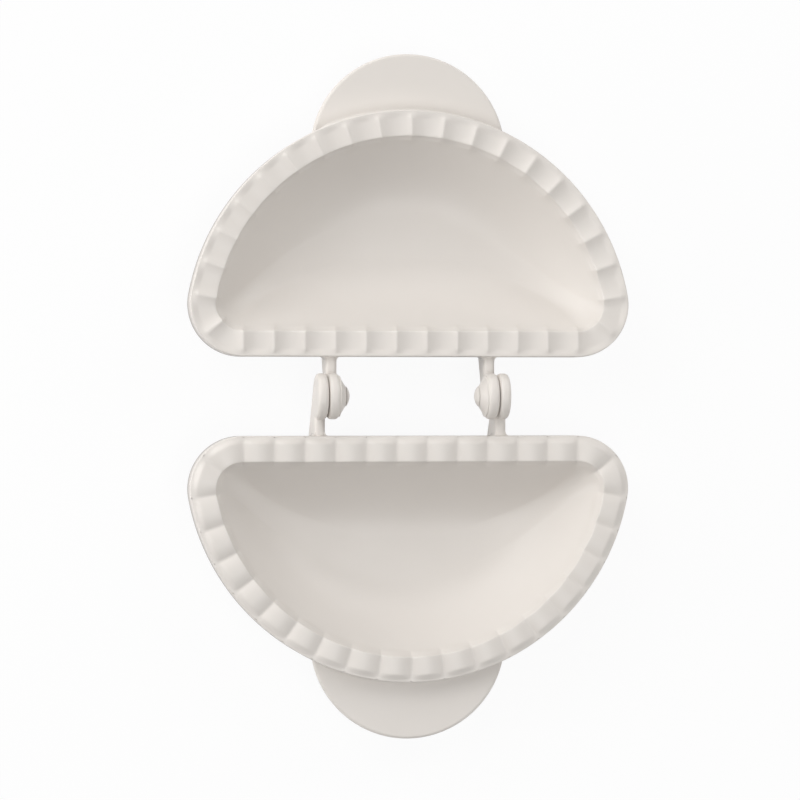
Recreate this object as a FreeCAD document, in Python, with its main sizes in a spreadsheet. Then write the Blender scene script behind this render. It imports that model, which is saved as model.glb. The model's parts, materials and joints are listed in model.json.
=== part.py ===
import FreeCAD, Part
import os
import re
import Sketcher

# Empanada press: two half-moon cups on a hinge, with crimp rings that mesh when it is closed.
#
# The press is modelled lying open, as it rests on a table. X runs along the hinge, Y across
# it and Z up. The origin is on the table, under the middle of the hinge. The upper half lies
# on the +Y side and the lower half on the -Y side. Swinging the upper half by 180 degrees
# about the hinge lays it on the lower half, and its flutes then take the other's pillows.
#
# Each half is one moulding: a cup with a crimp ring round its mouth, a skirt that stiffens
# the ring, a lobed handle at the foot of the skirt and two hinge arms. Both are drawn on the
# +Y side, and the lower one is turned round afterwards.

SIZES = (
    ("rim_radius", 60.9, "curved side of a rim, outside"),
    ("arc_centre_reach", 16.5, "hinge axis to the centre of the curved side"),
    ("straight_reach", 10.7, "hinge axis to the straight side of a rim"),
    ("corner_radius", 14.3, "corner between the curved and the straight side"),
    ("rim_height", 18.0, "hinge axis above the table"),
    ("skirt_height", 7.5, "depth of the skirt under the rim"),
    ("skirt_wall", 2.0, "thickness of the skirt"),
    ("rim_plate", 2.0, "thickness under the crimp ring"),
    ("edge_bevel", 0.7, "bevel of the outer edge of the rim"),
    ("shoulder_width", 1.0, "plain band outside the crimp ring"),
    ("crimp_width", 6.1, "width of the crimp ring"),
    ("crimp_rise", 1.1, "height of a pillow, depth of a flute"),
    ("closing_gap", 0.3, "room between the rings when closed"),
    ("cup_wall", 2.0, "thickness of the cup"),
    ("floor_depth", 12.6, "flat floor, from the hinge side to the curved side"),
    ("cut_overrun", 0.5, "length by which a cut runs past what it cuts"),
    ("handle_radius", 26.8, "lobe of the handle"),
    ("handle_reach", 66.3, "hinge axis to the centre of the lobe"),
    ("handle_thickness", 2.6, "plate of the handle"),
    ("handle_bevel", 0.7, "bevel of the handle's edges"),
    ("eye_radius", 6.2, "rounded end of a hinge arm"),
    ("arm_drop", 2.0, "top edge of an arm below the hinge axis"),
    ("blade_start", 20.2, "middle of the press to the upper half's arm"),
    ("blade_thickness", 3.0, "upper half's arm"),
    ("blade_depth", 11.5, "upper half's arm at its root, below the axis"),
    ("arm_play", 0.5, "side gap between the two arms of a hinge"),
    ("ear_thickness", 2.6, "lower half's arm"),
    ("ear_depth", 15.0, "lower half's arm at its root, below the axis"),
    ("root_round", 1.9, "flare where an arm leaves the skirt"),
    ("hub_height", 2.0, "cone on the inner face of the upper half's arm"),
    ("hub_radius", 5.6, "cone at the arm"),
    ("hub_face_radius", 3.0, "cone at its flat end"),
    ("pin_radius", 1.9, "shank of a hinge pin"),
    ("pin_clearance", 0.05, "room round the shank in the turning arm"),
    ("pin_seat", 1.9, "depth of the pin's blind seat in the lower arm"),
    ("pin_head_radius", 2.5, "head of a hinge pin"),
    ("pin_head_height", 1.0, "head of a hinge pin"),
    ("pin_crown_radius", 1.3, "flat crown of the head, inside its bevel"),
    ("pin_head_play", 0.1, "head to the flat end of the cone"),
    ("pin_chamfer", 0.3, "lead-in at the end of the shank"),
)

COUNTS_AND_SHARES = (
    ("curve_cells", 18, "crimp cells along the curved side"),
    ("straight_cells", 11, "crimp cells along the straight side"),
    ("corner_cells", 2, "crimp cells round each corner"),
    ("cup_roundness", 2.0, "exponent of the cup's section, 2 for a parabola"),
)

WALL_STEPS = 2
DISH_STEPS = 3

LIP = "(rim_height - (crimp_rise + closing_gap) / 2)"
SKIRT_FOOT = f"({LIP} - skirt_height)"
MOUTH_INSET = "(shoulder_width + crimp_width)"
FLOOR_INSET = "((rim_radius + arc_centre_reach - straight_reach - floor_depth) / 2)"
CORNER_ANGLE = (
    "acos((straight_reach + corner_radius - arc_centre_reach) / (rim_radius - corner_radius))"
)
CORNER_X = f"((rim_radius - corner_radius) * sin({CORNER_ANGLE}))"
CORNER_Y = "(straight_reach + corner_radius)"
EAR_START = "(blade_start + blade_thickness + arm_play)"
HUB_FACE = "(blade_start - hub_height)"
ARM_INNER_END = f"(straight_reach + {FLOOR_INSET})"


def tied(text):
    """Return an expression in which every size is read from the sheet."""
    return re.sub(r"[a-z]+(?:_[a-z]+)+", r"sizes.\g<0>", text)


def number(text):
    """Return what an expression in the named sizes comes to."""
    value = document.getObject("sizes").evalExpression(tied(text))
    return getattr(value, "Value", value)


def tie(thing, **expressions):
    """Tie properties to expressions, where two underscores in a name stand for a dot."""
    for target, text in expressions.items():
        thing.setExpression(target.replace("__", "."), tied(text))


def make_sheet():
    """Write the driving dimensions with their names and meanings."""
    sheet = document.addObject("Spreadsheet::Sheet", "sizes")
    for row, (name, value, meaning) in enumerate(SIZES + COUNTS_AND_SHARES, start=1):
        sheet.set(f"A{row}", name)
        sheet.set(f"B{row}", str(value))
        sheet.setAlias(f"B{row}", name)
        sheet.set(f"C{row}", meaning)
    document.recompute()


def origin_of(body, role):
    """Return one of the planes or axes of a body's own origin."""
    return next(item for item in body.Origin.OriginFeatures if item.Role == role)


def make_body(name):
    """Start a body with a name of its own."""
    return document.addObject("PartDesign::Body", name)


def make_sketch(body, name, plane, x="0", y="0", z="0"):
    """Start a sketch on an origin plane, shifted along the sketch's own axes."""
    sketch = body.newObject("Sketcher::SketchObject", name)
    sketch.AttachmentSupport = [(origin_of(body, plane), "")]
    sketch.MapMode = "FlatFace"
    tie(
        sketch,
        AttachmentOffset__Base__x=x,
        AttachmentOffset__Base__y=y,
        AttachmentOffset__Base__z=z,
    )
    return sketch


def dimension(sketch, kind, points, name, text):
    """Add a dimension to a sketch and tie it to an expression."""
    index = sketch.addConstraint(Sketcher.Constraint(kind, *points, number(text)))
    sketch.renameConstraint(index, name)
    sketch.setExpression("Constraints." + name, tied(text))


def place_point(sketch, edge, end, name, x, y):
    """Fix a point of a sketch by two expressions."""
    for kind, axis, text in (("DistanceX", -2, x), ("DistanceY", -1, y)):
        if text == "0":
            sketch.addConstraint(Sketcher.Constraint("PointOnObject", edge, end, axis))
        else:
            dimension(sketch, kind, (-1, 1, edge, end), name + kind[-1], text)


def draw_outline(sketch, corners):
    """Draw a closed outline of lines and arcs through named corners.

    A corner is a name and two expressions. A fourth item, an expression for a radius, turns
    the line that leaves the corner into an arc of less than a half turn that bulges to the
    right of the way round.
    """
    points = [FreeCAD.Vector(number(corner[1]), number(corner[2])) for corner in corners]
    for index, corner in enumerate(corners):
        start = points[index]
        end = points[(index + 1) % len(points)]
        if len(corner) == 3:
            sketch.addGeometry(Part.LineSegment(start, end))
            continue
        across = end - start
        half = across.Length / 2
        radius = number(corner[3])
        rise = (radius ** 2 - half ** 2) ** 0.5
        left = FreeCAD.Vector(-across.y, across.x).normalize()
        centre = (start + end) / 2 + left * rise
        bulge = centre - left * radius
        sketch.addGeometry(Part.Arc(start, bulge, end))
    for index, corner in enumerate(corners):
        following = (index + 1) % len(corners)
        sketch.addConstraint(Sketcher.Constraint("Coincident", index, 2, following, 1))
        place_point(sketch, index, 1, corner[0], corner[1], corner[2])
        if len(corner) == 4:
            dimension(sketch, "Radius", (index,), corner[0] + "_radius", corner[3])


def draw_half_moon(sketch, name, inset, corner):
    """Draw the outline of a rim, moved inwards by an inset, with its own corner radius."""
    radius = f"rim_radius - ({inset})"
    straight = f"straight_reach + ({inset})"
    centre = FreeCAD.Vector(0, number("arc_centre_reach"))
    arc_radius = number(radius)
    corner_radius = number(corner)
    corner_y = number(straight) + corner_radius
    corner_x = ((arc_radius - corner_radius) ** 2 - (corner_y - centre.y) ** 2) ** 0.5
    right = FreeCAD.Vector(corner_x, corner_y)
    left = FreeCAD.Vector(-corner_x, corner_y)
    foot = FreeCAD.Vector(0, -corner_radius)
    right_join = right + (right - centre).normalize() * corner_radius
    left_join = FreeCAD.Vector(-right_join.x, right_join.y)
    right_mid = right + ((right_join - right) + foot).normalize() * corner_radius
    left_mid = FreeCAD.Vector(-right_mid.x, right_mid.y)
    top = centre + FreeCAD.Vector(0, arc_radius)
    first = sketch.GeometryCount
    line, right_corner, curve, left_corner = range(first, first + 4)
    sketch.addGeometry(Part.LineSegment(left + foot, right + foot))
    sketch.addGeometry(Part.Arc(right + foot, right_mid, right_join))
    sketch.addGeometry(Part.Arc(right_join, top, left_join))
    sketch.addGeometry(Part.Arc(left_join, left_mid, left + foot))
    for edge, following in (
        (line, right_corner),
        (right_corner, curve),
        (curve, left_corner),
        (left_corner, line),
    ):
        sketch.addConstraint(Sketcher.Constraint("Tangent", edge, 2, following, 1))
    sketch.addConstraint(Sketcher.Constraint("Horizontal", line))
    sketch.addConstraint(Sketcher.Constraint("PointOnObject", curve, 3, -2))
    sketch.addConstraint(Sketcher.Constraint("Equal", right_corner, left_corner))
    dimension(sketch, "DistanceY", (-1, 1, curve, 3), name + "_centre", "arc_centre_reach")
    dimension(sketch, "DistanceY", (-1, 1, line, 1), name + "_straight", straight)
    dimension(sketch, "Radius", (curve,), name + "_radius", radius)
    dimension(sketch, "Radius", (right_corner,), name + "_corner", corner)


def half_moon_sketch(body, name, height, inset, corner=None):
    """Sketch one rim outline at a height."""
    sketch = make_sketch(body, name, "XY_Plane", z=height)
    draw_half_moon(sketch, name, inset, corner or f"corner_radius - ({inset})")
    return sketch


def ring_sketch(body, name, height):
    """Sketch the band that the crimp covers."""
    sketch = make_sketch(body, name, "XY_Plane", z=height)
    draw_half_moon(sketch, "outside", "shoulder_width", "corner_radius - shoulder_width")
    draw_half_moon(sketch, "mouth", MOUTH_INSET, f"corner_radius - {MOUTH_INSET}")
    return sketch


def extrude(body, kind, sketch, name, length, reverse=False, both_ways=False):
    """Pad or pocket a sketch."""
    feature = body.newObject("PartDesign::" + kind, name)
    feature.Profile = sketch
    feature.Reversed = reverse
    feature.SideType = "Symmetric" if both_ways else "One side"
    tie(feature, Length=length)
    return feature


def loft(body, sketches, name):
    """Loft a straight-sided solid through sketches."""
    feature = body.newObject("PartDesign::AdditiveLoft", name)
    feature.Profile = sketches[0]
    feature.Sections = sketches[1:]
    feature.Ruled = True
    return feature


def revolve(body, sketch, name, axis, kind="Revolution", angle="360 deg"):
    """Turn a sketch round one of its own axes, to add a solid or to cut one away."""
    feature = body.newObject("PartDesign::" + kind, name)
    feature.Profile = sketch
    feature.ReferenceAxis = (sketch, [axis])
    tie(feature, Angle=angle)
    return feature


def wall_section(start_inset, floor):
    """List the section of a cup from its lip to its floor, as insets from the rim and heights.

    It is a parabola that runs out level at the flat floor. One of its points lies over the
    centres of the rim's corners, where the turned corners of the cup end.
    """
    insets = []
    for step in range(WALL_STEPS):
        insets.append(f"({start_inset} + (corner_radius - {start_inset}) * {step} / {WALL_STEPS})")
    for step in range(DISH_STEPS + 1):
        insets.append(f"(corner_radius + ({FLOOR_INSET} - corner_radius) * {step} / {DISH_STEPS})")
    section = []
    for inset in insets:
        left = f"(({FLOOR_INSET} - {inset}) / ({FLOOR_INSET} - {start_inset}))"
        section.append((inset, f"({floor} + ({LIP} - {floor}) * {left}^cup_roundness)"))
    return section


def make_cup_form(name, start_inset, floor, top):
    """Make a half-moon cup as a filled solid: its outside, or what is cut out of it.

    Its curved side is turned, its straight side is cut along the hinge, and its corners are
    cut round the centres of the rim's corners. All three have the same section.
    """
    body = make_body(name)
    section = wall_section(start_inset, floor)
    below = f"({floor} - cut_overrun)"
    above = f"({top} + cut_overrun)"
    mouth = section[0][0]

    round_section = make_sketch(body, "round_section", "YZ_Plane", x="arc_centre_reach")
    points = [("middle_floor", "0", floor)]
    for index, (inset, height) in reversed(list(enumerate(section))):
        points.append((f"wall_{index}", f"rim_radius - {inset}", height))
    if top != LIP:
        points.append(("edge_top", f"rim_radius - {mouth}", top))
    points.append(("middle_top", "0", top))
    draw_outline(round_section, points)
    revolve(body, round_section, "round_side", "V_Axis")

    straight_section = make_sketch(body, "straight_section", "YZ_Plane")
    points = [("far_low", "-rim_radius", below), ("near_low", f"straight_reach + {FLOOR_INSET}", below)]
    for index, (inset, height) in reversed(list(enumerate(section))):
        points.append((f"wall_{index}", f"straight_reach + {inset}", height))
    points.append(("near_high", f"straight_reach + {mouth}", above))
    points.append(("far_high", "-rim_radius", above))
    draw_outline(straight_section, points)
    extrude(body, "Pocket", straight_section, "straight_side", "2 * rim_radius", both_ways=True)

    corner_section = make_sketch(body, "corner_section", "YZ_Plane", x=CORNER_Y, z=CORNER_X)
    points = [("far_low", "-2 * corner_radius", below), ("axis_low", "0", below)]
    for index, (inset, height) in reversed(list(enumerate(section[: WALL_STEPS + 1]))):
        reach = "0" if index == WALL_STEPS else f"-(corner_radius - {inset})"
        points.append((f"wall_{index}", reach, height))
    points.append(("near_high", f"-(corner_radius - {mouth})", above))
    points.append(("far_high", "-2 * corner_radius", above))
    draw_outline(corner_section, points)
    turn = f"180 deg - {CORNER_ANGLE}"
    corner = revolve(body, corner_section, "corner", "V_Axis", "Groove", turn)
    mirrored = body.newObject("PartDesign::Mirrored", "second_corner")
    mirrored.Originals = [corner]
    mirrored.MirrorPlane = (origin_of(body, "YZ_Plane"), [""])
    body.Tip = mirrored
    return body


def add_handle(body):
    """Add the whole disc of the handle, whose inner part is cleared with the gutter."""
    sketch = make_sketch(body, "handle_section", "YZ_Plane", x="handle_reach", y=SKIRT_FOOT)
    inside = "handle_radius - handle_bevel"
    draw_outline(
        sketch,
        (
            ("middle_foot", "0", "0"),
            ("edge_foot", inside, "0"),
            ("low_edge", "handle_radius", "handle_bevel"),
            ("high_edge", "handle_radius", "handle_thickness - handle_bevel"),
            ("edge_top", inside, "handle_thickness"),
            ("middle_top", "0", "handle_thickness"),
        ),
    )
    revolve(body, sketch, "handle_disc", "V_Axis")


def draw_arm(sketch, depth):
    """Draw the side of a hinge arm, a gusset that narrows to a round eye on the axis."""
    eye = number("eye_radius")
    drop = number("arm_drop")
    root = FreeCAD.Vector(number("straight_reach"), -number(depth))
    inner = number(ARM_INNER_END)
    top_start = FreeCAD.Vector((eye ** 2 - drop ** 2) ** 0.5, -drop)
    to_root = FreeCAD.Vector(root.x, root.y).normalize()
    along = eye ** 2 / root.Length
    aside = (eye ** 2 - along ** 2) ** 0.5
    touch = to_root * along + FreeCAD.Vector(to_root.y, -to_root.x) * aside
    inner_foot = FreeCAD.Vector(inner, root.y)
    inner_top = FreeCAD.Vector(inner, -drop)
    arc, underside, foot, back, top = range(5)
    sketch.addGeometry(Part.Arc(top_start, FreeCAD.Vector(-eye, 0), touch))
    sketch.addGeometry(Part.LineSegment(touch, root))
    sketch.addGeometry(Part.LineSegment(root, inner_foot))
    sketch.addGeometry(Part.LineSegment(inner_foot, inner_top))
    sketch.addGeometry(Part.LineSegment(inner_top, top_start))
    sketch.addConstraint(Sketcher.Constraint("Tangent", arc, 2, underside, 1))
    for edge, following in ((underside, foot), (foot, back), (back, top), (top, arc)):
        sketch.addConstraint(Sketcher.Constraint("Coincident", edge, 2, following, 1))
    sketch.addConstraint(Sketcher.Constraint("Coincident", arc, 3, -1, 1))
    sketch.addConstraint(Sketcher.Constraint("Horizontal", foot))
    sketch.addConstraint(Sketcher.Constraint("Vertical", back))
    sketch.addConstraint(Sketcher.Constraint("Horizontal", top))
    dimension(sketch, "Radius", (arc,), "eye", "eye_radius")
    dimension(sketch, "DistanceY", (-1, 1, top, 1), "top_edge", "-arm_drop")
    dimension(sketch, "DistanceX", (-1, 1, foot, 1), "root_reach", "straight_reach")
    dimension(sketch, "DistanceY", (-1, 1, foot, 1), "root_depth", f"-({depth})")
    dimension(sketch, "DistanceX", (-1, 1, back, 1), "inner_end", ARM_INNER_END)


def add_arms(body, start, thickness, depth, hub=False):
    """Add a pair of hinge arms with flared roots, and with cones where the pins turn."""
    side = make_sketch(body, "arm_side", "YZ_Plane", y="rim_height", z=start)
    draw_arm(side, depth)
    arm = extrude(body, "Pad", side, "arm", thickness)
    flare_plan = make_sketch(body, "flare_plan", "XY_Plane", z=SKIRT_FOOT)
    near = f"{start} - root_round"
    far = f"{start} + {thickness} + root_round"
    tip = "straight_reach - root_round"
    buried = "straight_reach + skirt_wall / 2"
    draw_outline(
        flare_plan,
        (
            ("near_buried", near, buried),
            ("near_edge", near, "straight_reach"),
            ("near_tip", start, tip),
            ("far_tip", f"{start} + {thickness}", tip),
            ("far_edge", far, "straight_reach"),
            ("far_buried", far, buried),
        ),
    )
    flare_height = f"rim_height - arm_drop - {SKIRT_FOOT}"
    flare = extrude(body, "Pad", flare_plan, "flare", flare_height)
    doubled = [arm, flare]
    if hub:
        cone = make_sketch(body, "hub_section", "XZ_Plane", y="rim_height")
        draw_outline(
            cone,
            (
                ("face_middle", HUB_FACE, "0"),
                ("buried_middle", f"{start} + {thickness} / 2", "0"),
                ("buried_edge", f"{start} + {thickness} / 2", "hub_radius"),
                ("arm_edge", start, "hub_radius"),
                ("face_edge", HUB_FACE, "hub_face_radius"),
            ),
        )
        doubled.append(revolve(body, cone, "hub", "H_Axis"))
    mirrored = body.newObject("PartDesign::Mirrored", "second_arm")
    mirrored.Originals = doubled
    mirrored.MirrorPlane = (origin_of(body, "YZ_Plane"), [""])
    body.Tip = mirrored


def add_pin_holes(body, radius, reach):
    """Bore both arms from the middle of the press outwards."""
    sketch = make_sketch(body, "pin_hole", "YZ_Plane", y="rim_height")
    circle = sketch.addGeometry(Part.Circle(FreeCAD.Vector(), FreeCAD.Vector(0, 0, 1), number(radius)))
    sketch.addConstraint(Sketcher.Constraint("Coincident", circle, 3, -1, 1))
    dimension(sketch, "Radius", (circle,), "bore", radius)
    extrude(body, "Pocket", sketch, "pin_holes", f"2 * ({reach})", both_ways=True)


def top_edges(feature, height):
    """Name the edges of a feature that lie wholly at a height."""
    names = []
    for index, edge in enumerate(feature.Shape.Edges, start=1):
        box = edge.BoundBox
        if abs(box.ZMin - height) + abs(box.ZMax - height) < Part.Precision.confusion():
            names.append(f"Edge{index}")
    return names


def make_shell(name):
    """Make a half without its crimp, arms and cup: rim, skirt and handle."""
    body = make_body(name)
    outline = half_moon_sketch(body, "rim_outline", SKIRT_FOOT, "0", "corner_radius")
    rim = extrude(body, "Pad", outline, "rim", "skirt_height")
    document.recompute()
    bevel = body.newObject("PartDesign::Chamfer", "rim_bevel")
    bevel.Base = (rim, top_edges(rim, number(LIP)))
    tie(bevel, Size="edge_bevel")
    add_handle(body)
    gutter = half_moon_sketch(body, "gutter_outline", SKIRT_FOOT, "skirt_wall")
    extrude(body, "Pocket", gutter, "gutter", "skirt_height - rim_plate", reverse=True)
    return body


def add_cup(name, shell):
    """Add the cup to a half, and hollow it."""
    outside_inset = f"({MOUTH_INSET} - cup_wall)"
    outside = make_cup_form(name + "_cup", outside_inset, "0", LIP)
    filled = join("Fuse", name + "_filled", shell, outside)
    ring_top = f"({LIP} + crimp_rise)"
    cavity = make_cup_form(name + "_cavity", MOUTH_INSET, "cup_wall", ring_top)
    return join("Cut", name + "_hollow", filled, cavity)


def crimp_cell_sketch(body, name, distance, half_width):
    """Sketch the section of one crimp cell: a pillow on a short root, set in the lip."""
    sketch = make_sketch(body, name, "XZ_Plane", z=f"-({distance})")
    pillow = f"(({half_width})^2 + crimp_rise^2) / (2 * crimp_rise)"
    draw_outline(
        sketch,
        (
            ("left_root", f"-({half_width})", "-rim_plate / 2"),
            ("right_root", half_width, "-rim_plate / 2"),
            ("right_valley", half_width, "0", pillow),
            ("left_valley", f"-({half_width})", "0"),
        ),
    )
    return sketch


def straight_crimp(name):
    """Make the row of crimp cells along the straight side."""
    body = make_body(name)
    pitch = f"(2 * {CORNER_X} / straight_cells)"
    start = "(straight_reach + shoulder_width - cut_overrun)"
    sketch = crimp_cell_sketch(body, "cell_section", start, f"{pitch} / 2")
    cell = extrude(body, "Pad", sketch, "cell", "crimp_width + 2 * cut_overrun", reverse=True)
    row = body.newObject("PartDesign::LinearPattern", "row")
    row.Originals = [cell]
    row.Direction = (origin_of(body, "X_Axis"), [""])
    tie(row, Length=f"{pitch} * (straight_cells - 1)", Occurrences="straight_cells")
    body.Tip = row
    tie(body, Placement__Base__x=f"-{pitch} * (straight_cells - 1) / 2", Placement__Base__z=LIP)
    return body


def round_crimp(name, radius, cells, span, middle, centre_x, centre_y):
    """Make a fan of crimp cells round a centre, with its middle cell at an angle from +Y."""
    body = make_body(name)
    half_cell = f"({span} / (2 * {cells}))"
    near = f"(({radius} - {MOUTH_INSET}) * cos({half_cell}) - cut_overrun)"
    far = f"({radius} - shoulder_width + cut_overrun)"
    ends = []
    for end, distance in (("near_section", near), ("far_section", far)):
        ends.append(crimp_cell_sketch(body, end, distance, f"{distance} * tan({half_cell})"))
    cell = loft(body, ends, "cell")
    fan = body.newObject("PartDesign::PolarPattern", "fan")
    fan.Originals = [cell]
    fan.Axis = (origin_of(body, "Z_Axis"), [""])
    tie(fan, Angle=f"{span} * ({cells} - 1) / {cells}", Occurrences=cells)
    body.Tip = fan
    tie(
        body,
        Placement__Base__x=centre_x,
        Placement__Base__y=centre_y,
        Placement__Base__z=LIP,
        Placement__Rotation__Angle=f"{middle} - {span} * ({cells} - 1) / (2 * {cells})",
    )
    return body


def make_crimp(name):
    """Make the pillows of a whole ring, trimmed to the ring's band."""
    corner_span = f"(180 deg - {CORNER_ANGLE})"
    corner_middle = f"(({CORNER_ANGLE} + 180 deg) / 2)"
    cells = document.addObject("Part::MultiFuse", name + "_cells")
    cells.Shapes = [
        straight_crimp(name + "_straight"),
        round_crimp(
            name + "_curve",
            "rim_radius",
            "curve_cells",
            f"(2 * {CORNER_ANGLE})",
            "0 deg",
            "0",
            "arc_centre_reach",
        ),
    ]
    for side, sign in (("right", 1), ("left", -1)):
        corner = round_crimp(
            f"{name}_{side}",
            "corner_radius",
            "corner_cells",
            corner_span,
            f"{-sign} * {corner_middle}",
            f"{sign} * {CORNER_X}",
            CORNER_Y,
        )
        cells.Shapes = cells.Shapes + [corner]
    band = make_body(name + "_band")
    sketch = ring_sketch(band, "band_plan", f"{LIP} - rim_plate / 2")
    extrude(band, "Pad", sketch, "band", "rim_plate / 2 + crimp_rise + cut_overrun")
    crimp = document.addObject("Part::Common", name)
    crimp.Base = cells
    crimp.Tool = band
    return crimp


def join(kind, name, base, tool):
    """Join or cut two objects into a finished moulding."""
    result = document.addObject("Part::" + kind, name)
    result.Base = base
    result.Tool = tool
    result.Refine = True
    return result


def make_lower_half():
    """Make the half with the pillows, and turn it round to the -Y side."""
    shell = make_shell("lower_shell")
    add_arms(shell, EAR_START, "ear_thickness", "ear_depth")
    add_pin_holes(shell, "pin_radius", f"{EAR_START} + pin_seat")
    half = join("Fuse", "lower_half", add_cup("lower", shell), make_crimp("pillows"))
    half.Placement = FreeCAD.Placement(FreeCAD.Vector(), FreeCAD.Rotation(180, 0, 0))
    return half


def make_upper_half():
    """Make the half with the flutes, which are the pillows' own shape, set back by the gap."""
    shell = make_shell("upper_shell")
    raised = ring_sketch(shell, "raised_plan", LIP)
    extrude(shell, "Pad", raised, "raised_ring", "crimp_rise")
    add_arms(shell, "blade_start", "blade_thickness", "blade_depth", hub=True)
    bore = "pin_radius + pin_clearance"
    add_pin_holes(shell, bore, "blade_start + blade_thickness + arm_play / 2")
    flutes = make_crimp("flutes")
    flutes.Placement = FreeCAD.Placement(FreeCAD.Vector(), FreeCAD.Rotation(0, 180, 0))
    tie(flutes, Placement__Base__z="2 * rim_height - closing_gap")
    return join("Cut", "upper_half", add_cup("upper", shell), flutes)


def make_pin(name, turned):
    """Make a hinge pin with a bevelled head on its inner end."""
    body = make_body(name)
    head_back = f"({HUB_FACE} - pin_head_play)"
    tip = f"({head_back} - pin_head_height)"
    end = f"({EAR_START} + pin_seat)"
    sketch = make_sketch(body, "pin_section", "XZ_Plane")
    draw_outline(
        sketch,
        (
            ("end_edge", end, "pin_radius - pin_chamfer"),
            ("chamfer", f"{end} - pin_chamfer", "pin_radius"),
            ("neck", head_back, "pin_radius"),
            ("head_edge", head_back, "pin_head_radius"),
            ("crown_edge", tip, "pin_crown_radius"),
            ("tip", tip, "0"),
            ("end_middle", end, "0"),
        ),
    )
    revolve(body, sketch, "pin", "H_Axis")
    body.Placement.Rotation = FreeCAD.Rotation(180 if turned else 0, 0, 0)
    tie(body, Placement__Base__z="rim_height")
    return body


def check(parts):
    """Stop if any object has failed, or if a part isn't one valid solid."""
    for item in document.Objects:
        if {"Invalid", "Error"} & set(item.State):
            raise RuntimeError(f"{item.Name} is {item.State}")
    for part in parts:
        shape = part.Shape
        if shape.isNull() or not shape.isValid() or len(shape.Solids) != 1:
            raise RuntimeError(f"{part.Label} is not one valid solid")


document = FreeCAD.newDocument("empanada_press")
make_sheet()
parts = [
    make_lower_half(),
    make_upper_half(),
    make_pin("hinge_pin_right", turned=False),
    make_pin("hinge_pin_left", turned=True),
]
document.recompute()
check(parts)
os.makedirs("parts", exist_ok=True)
for part in parts:
    part.Shape.exportStep(f"parts/{part.Label}.step")
    box = part.Shape.BoundBox
    print(part.Label, f"{part.Shape.Volume:.1f}", box)
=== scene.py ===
import json
import math

import bmesh
import bpy
from mathutils import Matrix, Vector


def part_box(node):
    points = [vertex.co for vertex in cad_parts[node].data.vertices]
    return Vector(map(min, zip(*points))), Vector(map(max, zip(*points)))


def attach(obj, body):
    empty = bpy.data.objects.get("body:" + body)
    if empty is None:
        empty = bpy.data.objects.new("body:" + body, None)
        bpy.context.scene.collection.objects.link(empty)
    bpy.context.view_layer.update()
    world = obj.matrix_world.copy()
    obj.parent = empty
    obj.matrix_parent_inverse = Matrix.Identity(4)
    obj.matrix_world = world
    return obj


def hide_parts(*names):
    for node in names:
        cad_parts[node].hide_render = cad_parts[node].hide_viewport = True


bl_info = {
    "name": "Half-moon dough press",
    "version": (1, 0, 0),
    "blender": (4, 5, 0),
    "location": "View3D > Sidebar > Press",
    "description": "Dresses the hinged half-moon press: two crimped mouldings and their pins",
    "category": "Object",
}

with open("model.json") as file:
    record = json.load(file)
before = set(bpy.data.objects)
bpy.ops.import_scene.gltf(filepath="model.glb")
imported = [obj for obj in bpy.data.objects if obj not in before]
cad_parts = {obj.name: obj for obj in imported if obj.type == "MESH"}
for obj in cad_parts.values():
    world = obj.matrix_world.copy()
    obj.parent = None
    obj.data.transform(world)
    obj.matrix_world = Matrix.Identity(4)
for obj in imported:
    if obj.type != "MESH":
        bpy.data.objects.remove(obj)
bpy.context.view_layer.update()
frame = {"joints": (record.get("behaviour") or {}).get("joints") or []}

MM = 0.001
HINGE_HEIGHT = frame["joints"][0]["pos_m"][2]
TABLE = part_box("upper_half")[0].z
HALF_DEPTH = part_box("upper_half")[1].y


# Sizes and colours that a user would change


def length(name, description, default):
    """Declare a length of the press, given in millimetres."""
    return bpy.props.FloatProperty(
        name=name, description=description, default=default * MM, unit="LENGTH", precision=5
    )


class RimSizes(bpy.types.PropertyGroup):
    """The half moon that both halves share."""

    radius: length("Rim radius", "Curved side of a rim, outside", 60.9)
    centre_reach: length("Centre reach", "Hinge axis to the centre of the curved side", 16.5)
    straight_reach: length("Straight reach", "Hinge axis to the straight side of a rim", 10.7)
    corner: length("Corner radius", "Corner between the curved and the straight side", 14.3)
    below_axis: length("Lip drop", "Lip of a rim below the hinge axis", 0.7)
    skirt: length("Skirt", "Depth of the skirt under the rim", 7.5)
    skirt_wall: length("Skirt wall", "Thickness of the skirt", 2.0)
    plate: length("Rim plate", "Thickness of the rim under the crimp ring", 2.0)
    edge_round: length("Edge round", "Rounding of the outer edge of the rim", 0.45)
    foot_round: length("Foot round", "Rounding of the skirt's foot", 0.3)
    gutter_round: length("Gutter round", "Rounding inside the gutter", 0.45)


class CrimpSizes(bpy.types.PropertyGroup):
    """The ring of pillows or flutes round a mouth."""

    shoulder: length("Shoulder", "Plain band outside the crimp ring", 0.25)
    width: length("Width", "Width of the crimp ring", 6.85)
    rise: length("Rise", "Height of a pillow, and depth of a flute", 1.1)
    ramp: length("Ramp", "Run over which a cell's outer end dies out", 2.1)
    shoulder_lift: length("Shoulder lift", "Raised shoulder of the half with flutes", 0.5)
    mouth_round: length("Mouth round", "Rounding between the ring and the cup", 0.45)
    fade: length("Fade", "Height of wall over which the crimp dies out below the mouth", 2.2)
    straight_cells: bpy.props.IntProperty(
        name="Straight cells", description="Cells along the straight side", default=11
    )
    curve_cells: bpy.props.IntProperty(
        name="Curve cells", description="Cells along the curved side", default=18
    )
    corner_cells: bpy.props.IntProperty(
        name="Corner cells", description="Cells round each corner", default=2
    )
    cell_steps: bpy.props.IntProperty(
        name="Cell steps", description="Mesh faces across one cell", default=20
    )


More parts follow.
